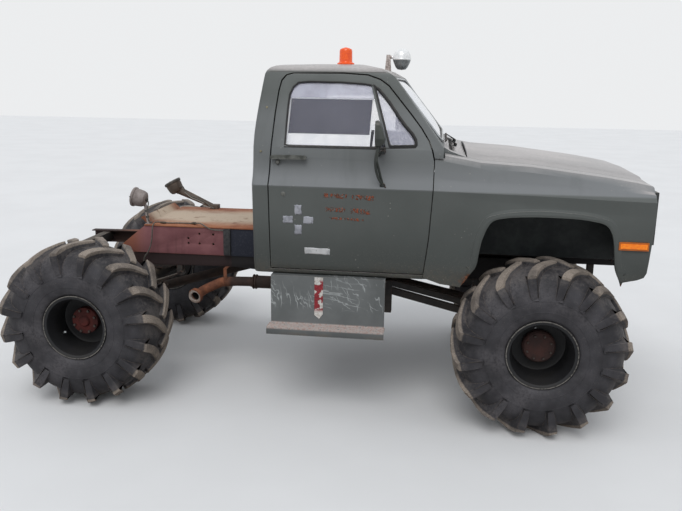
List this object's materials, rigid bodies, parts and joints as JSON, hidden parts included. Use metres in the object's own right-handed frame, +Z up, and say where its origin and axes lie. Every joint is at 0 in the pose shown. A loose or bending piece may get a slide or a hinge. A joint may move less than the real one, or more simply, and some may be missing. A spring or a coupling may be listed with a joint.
{
  "type": "lifted off-road pickup cab and chassis",
  "caption": "Lifted four-wheel-drive pickup cab on a bare rear frame with a small steel deck, very large bar-lug tyres, side steps, work lamps and a roof beacon.",
  "frame": {"origin": "on the ground, under the middle of the whole truck", "axes": "+X forward, +Y to the left, +Z up; symmetric about Y = 0 apart from lamps and exhaust"},
  "size_m": [4.47, 2.39, 2.577],
  "materials": {
    "olive_paint": "matt, dusty",
    "red_primer": "matt primer",
    "dark_steel": "grimy",
    "rusty_steel": "rusted",
    "window_glass": "clear, dusty",
    "tyre_rubber": "muddy",
    "wheel_black": "worn",
    "seat_vinyl": "worn",
    "cable_rubber": "dusty",
    "dark_plastic": "matt",
    "amber_lens": "gloss",
    "lamp_chrome": "worn"
  },
  "bodies": {
    "chassis": {"cab_shell": "olive_paint", "front_fenders": "olive_paint", "inner_fenders": "olive_paint", "side_steps": "olive_paint", "frame_rail_right": "red_primer", "frame_rail_left": "red_primer", "rear_deck": "rusty_steel", "exhaust_pipes": "rusty_steel", "radiator": "dark_steel", "grille": "dark_steel", "crossmembers": "dark_steel", "front_axle": "dark_steel", "rear_axle": "dark_steel", "leaf_springs": "dark_steel", "shock_absorbers": "dark_steel", "traction_bars": "dark_steel", "powertrain": "dark_steel", "driveshafts": "dark_steel", "cab_windows": "window_glass", "bench_seat": "seat_vinyl", "deck_cable": "cable_rubber", "dashboard": "dark_plastic", "steering_wheel": "dark_plastic", "roof_beacon": "amber_lens", "front_lamps": "lamp_chrome", "roof_spotlight": "lamp_chrome", "work_lamps": "dark_steel"},
    "door_right": {"door_right": "olive_paint", "door_glass_right": "window_glass", "mirror_right": "lamp_chrome"},
    "door_left": {"door_left": "olive_paint", "door_glass_left": "window_glass", "mirror_left": "lamp_chrome"},
    "hood": {"hood": "olive_paint"},
    "knuckle_right": {"knuckle_right": "dark_steel"},
    "knuckle_left": {"knuckle_left": "dark_steel"},
    "tie_rod": {"tie_rod": "dark_steel"},
    "wheel_front_right": {"rim_front_right": "wheel_black", "tyre_front_right": "tyre_rubber"},
    "wheel_front_left": {"rim_front_left": "wheel_black", "tyre_front_left": "tyre_rubber"},
    "wheel_rear_right": {"rim_rear_right": "wheel_black", "tyre_rear_right": "tyre_rubber"},
    "wheel_rear_left": {"rim_rear_left": "wheel_black", "tyre_rear_left": "tyre_rubber"}
  },
  "joints": [
    {"name": "door_right_hinge", "type": "hinge", "parent": "chassis", "child": "door_right", "pos_m": [0.791, -1.008, 1.5], "axis": [0, 0, 1], "range_deg": [0, 65]},
    {"name": "door_left_hinge", "type": "hinge", "parent": "chassis", "child": "door_left", "pos_m": [0.791, 1.008, 1.5], "axis": [0, 0, -1], "range_deg": [0, 65]},
    {"name": "hood_hinge", "type": "hinge", "parent": "chassis", "child": "hood", "pos_m": [1.026, 0, 1.845], "axis": [0, -1, 0], "range_deg": [0, 48]},
    {"name": "steer_right", "type": "hinge", "parent": "chassis", "child": "knuckle_right", "pos_m": [1.556, -0.74, 0.588], "axis": [0, 0, 1], "range_deg": [-22, 22]},
    {"name": "steer_left", "type": "hinge", "parent": "chassis", "child": "knuckle_left", "pos_m": [1.556, 0.74, 0.588], "axis": [0, 0, 1], "range_deg": [-22, 22]},
    {"name": "tie_rod_slide", "type": "slide", "parent": "chassis", "child": "tie_rod", "axis": [0, 1, 0], "range_m": [-0.0576, 0.0576]},
    {"name": "wheel_front_right_spin", "type": "hinge", "parent": "knuckle_right", "child": "wheel_front_right", "pos_m": [1.556, -0.945, 0.588], "axis": [0, 1, 0], "continuous": true},
    {"name": "wheel_front_left_spin", "type": "hinge", "parent": "knuckle_left", "child": "wheel_front_left", "pos_m": [1.556, 0.945, 0.588], "axis": [0, 1, 0], "continuous": true},
    {"name": "wheel_rear_right_spin", "type": "hinge", "parent": "chassis", "child": "wheel_rear_right", "pos_m": [-1.647, -0.945, 0.588], "axis": [0, 1, 0], "continuous": true},
    {"name": "wheel_rear_left_spin", "type": "hinge", "parent": "chassis", "child": "wheel_rear_left", "pos_m": [-1.647, 0.945, 0.588], "axis": [0, 1, 0], "continuous": true}
  ],
  "couplings": [
    {"joint": "steer_left", "follows": "steer_right", "ratio": 1},
    {"joint": "tie_rod_slide", "follows": "steer_right", "m_per_rad": 0.15}
  ]
}
